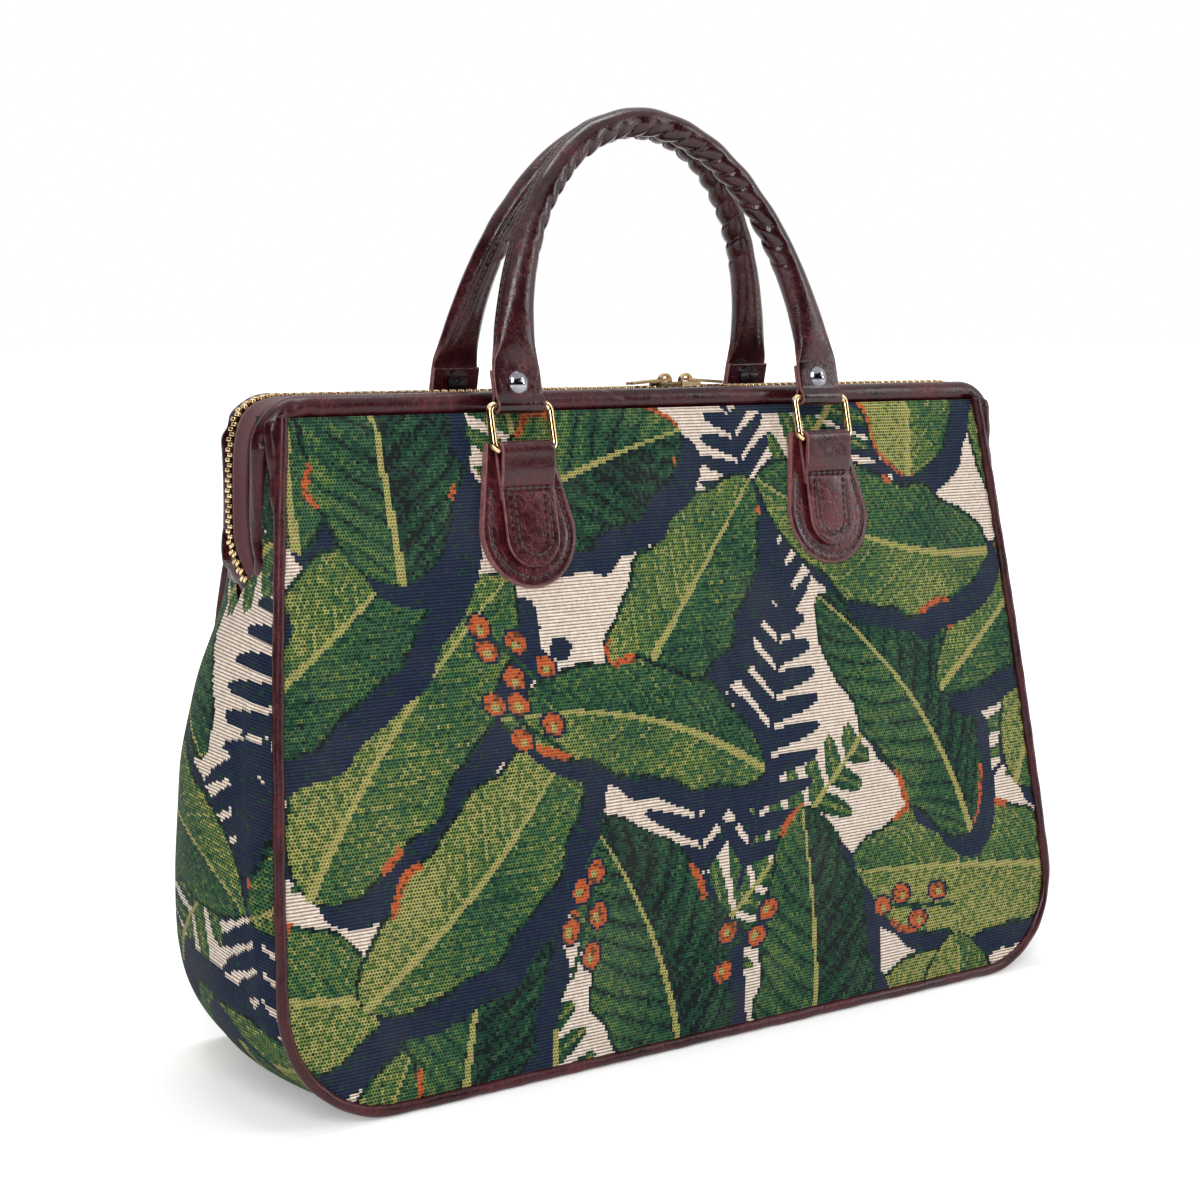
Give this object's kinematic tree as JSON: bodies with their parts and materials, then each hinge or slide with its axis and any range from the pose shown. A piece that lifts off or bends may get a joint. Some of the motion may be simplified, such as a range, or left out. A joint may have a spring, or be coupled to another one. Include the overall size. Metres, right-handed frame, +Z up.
{
  "type": "carpet bag",
  "caption": "Zipped tapestry carpet bag with leaning panels, leather piping, a wire-framed mouth, rolled leather handles on metal rings and tab fixings.",
  "frame": {"origin": "on the floor, under the middle of the bag", "axes": "+X along the bag to the right seen from the front, front panel faces -Y, +Z up"},
  "size_m": [0.48, 0.1464, 0.4393],
  "materials": {
    "tapestry": "woven tapestry, ribbed",
    "lining_cloth": "plain woven lining",
    "leather": "glossy burgundy",
    "piping_leather": "glossy burgundy",
    "tab_leather": "grained burgundy",
    "handle_leather": "grained burgundy",
    "zip_tape": "woven zip tape",
    "zip_metal": "pale gold, polished",
    "gold_metal": "pale gold, polished",
    "snap_metal": "polished",
    "steel_wire": "drawn",
    "core_cord": "twisted cord"
  },
  "bodies": {
    "bag": {"back_binding": "leather", "back_frame_wire": "steel_wire", "back_left_tab_base": "tab_leather", "back_left_tab_strap": "tab_leather", "back_panel": "tapestry", "back_piping": "piping_leather", "back_right_tab_base": "tab_leather", "back_right_tab_strap": "tab_leather", "back_teeth": "zip_metal", "back_zip_tape": "zip_tape", "front_binding": "leather", "front_frame_wire": "steel_wire", "front_left_tab_base": "tab_leather", "front_left_tab_strap": "tab_leather", "front_panel": "tapestry", "front_piping": "piping_leather", "front_right_tab_base": "tab_leather", "front_right_tab_strap": "tab_leather", "front_teeth": "zip_metal", "front_zip_tape": "zip_tape", "gusset": "tapestry", "left_zip_end": "leather", "lining": "lining_cloth", "right_zip_end": "leather"},
    "back_handle_body": {"back_handle": "handle_leather", "back_handle_core": "core_cord", "back_snap_caps": "snap_metal", "back_snap_sockets": "snap_metal"},
    "back_left_ring_body": {"back_left_ring": "gold_metal"},
    "back_right_ring_body": {"back_right_ring": "gold_metal"},
    "front_handle_body": {"front_handle": "handle_leather", "front_handle_core": "core_cord", "front_snap_caps": "snap_metal", "front_snap_sockets": "snap_metal"},
    "front_left_ring_body": {"front_left_ring": "gold_metal"},
    "front_right_ring_body": {"front_right_ring": "gold_metal"},
    "left_pull_body": {"left_pull": "gold_metal"},
    "left_slider_body": {"left_slider": "gold_metal"},
    "right_pull_body": {"right_pull": "gold_metal"},
    "right_slider_body": {"right_slider": "gold_metal"}
  },
  "joints": [
    {"name": "front_left_ring_swing", "type": "hinge", "parent": "bag", "child": "front_left_ring_body", "pos_m": [-0.089, -0.03959, 0.2818], "axis": [1, 0, 0], "range_deg": [0, 75]},
    {"name": "front_right_ring_swing", "type": "hinge", "parent": "bag", "child": "front_right_ring_body", "pos_m": [0.089, -0.03959, 0.2818], "axis": [1, 0, 0], "range_deg": [0, 75]},
    {"name": "front_handle_swing", "type": "hinge", "parent": "front_left_ring_body", "child": "front_handle_body", "pos_m": [-0.089, -0.03494, 0.30166], "axis": [1, 0, 0], "range_deg": [0, 105]},
    {"name": "back_left_ring_swing", "type": "hinge", "parent": "bag", "child": "back_left_ring_body", "pos_m": [-0.081, 0.03959, 0.2818], "axis": [-1, 0, 0], "range_deg": [0, 75]},
    {"name": "back_right_ring_swing", "type": "hinge", "parent": "bag", "child": "back_right_ring_body", "pos_m": [0.097, 0.03959, 0.2818], "axis": [-1, 0, 0], "range_deg": [0, 75]},
    {"name": "back_handle_swing", "type": "hinge", "parent": "back_left_ring_body", "child": "back_handle_body", "pos_m": [-0.081, 0.03494, 0.30166], "axis": [-1, 0, 0], "range_deg": [0, 105]},
    {"name": "left_slider_slide", "type": "slide", "parent": "bag", "child": "left_slider_body", "axis": [-1, 0, 0], "range_m": [0, 0.2]},
    {"name": "left_pull_swing", "type": "hinge", "parent": "left_slider_body", "child": "left_pull_body", "pos_m": [0.0196, 0, 0.3106], "axis": [0, 1, 0], "range_deg": [0, 95]},
    {"name": "right_slider_slide", "type": "slide", "parent": "bag", "child": "right_slider_body", "axis": [1, 0, 0], "range_m": [0, 0.15]},
    {"name": "right_pull_swing", "type": "hinge", "parent": "right_slider_body", "child": "right_pull_body", "pos_m": [0.0324, 0, 0.3106], "axis": [0, -1, 0], "range_deg": [0, 95]}
  ],
  "couplings": [
    {"joint": "front_right_ring_swing", "follows": "front_left_ring_swing", "ratio": 1},
    {"joint": "back_right_ring_swing", "follows": "back_left_ring_swing", "ratio": 1}
  ]
}
